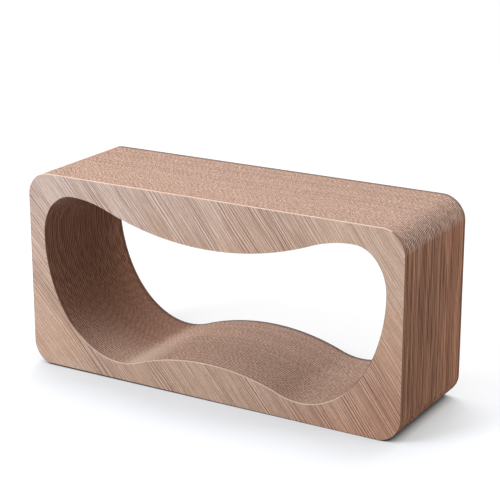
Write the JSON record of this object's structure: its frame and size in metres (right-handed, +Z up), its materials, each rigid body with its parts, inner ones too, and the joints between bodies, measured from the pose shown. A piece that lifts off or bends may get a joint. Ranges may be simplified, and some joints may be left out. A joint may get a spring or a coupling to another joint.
{
  "type": "cat scratcher sofa",
  "caption": "Free-standing cat scratcher of glued corrugated board rings, with a flat lounging top, a wavy tunnel right through it and wood-grain cover panels.",
  "frame": {"origin": "on the floor, under the middle of the stack", "axes": "+X along the length, +Y from the front cover panel to the rear one, +Z up"},
  "size_m": [0.6, 0.192, 0.294],
  "materials": {
    "wood_grain_print": "matte",
    "corrugated_board": "matte"
  },
  "bodies": {
    "root": {"front_cover_panel": "wood_grain_print", "rear_cover_panel": "wood_grain_print", "core_sheet_01": "corrugated_board", "core_sheet_02": "corrugated_board", "core_sheet_03": "corrugated_board", "core_sheet_04": "corrugated_board", "core_sheet_05": "corrugated_board", "core_sheet_06": "corrugated_board", "core_sheet_07": "corrugated_board", "core_sheet_08": "corrugated_board", "core_sheet_09": "corrugated_board", "core_sheet_10": "corrugated_board", "core_sheet_11": "corrugated_board", "core_sheet_12": "corrugated_board", "core_sheet_13": "corrugated_board", "core_sheet_14": "corrugated_board", "core_sheet_15": "corrugated_board", "core_sheet_16": "corrugated_board", "core_sheet_17": "corrugated_board", "core_sheet_18": "corrugated_board", "core_sheet_19": "corrugated_board", "core_sheet_20": "corrugated_board", "core_sheet_21": "corrugated_board", "core_sheet_22": "corrugated_board", "core_sheet_23": "corrugated_board", "core_sheet_24": "corrugated_board", "core_sheet_25": "corrugated_board", "core_sheet_26": "corrugated_board", "core_sheet_27": "corrugated_board", "core_sheet_28": "corrugated_board", "core_sheet_29": "corrugated_board", "core_sheet_30": "corrugated_board", "core_sheet_31": "corrugated_board", "core_sheet_32": "corrugated_board", "core_sheet_33": "corrugated_board", "core_sheet_34": "corrugated_board", "core_sheet_35": "corrugated_board", "core_sheet_36": "corrugated_board", "core_sheet_37": "corrugated_board", "core_sheet_38": "corrugated_board", "core_sheet_39": "corrugated_board", "core_sheet_40": "corrugated_board", "core_sheet_41": "corrugated_board", "core_sheet_42": "corrugated_board", "core_sheet_43": "corrugated_board", "core_sheet_44": "corrugated_board"}
  },
  "joints": []
}
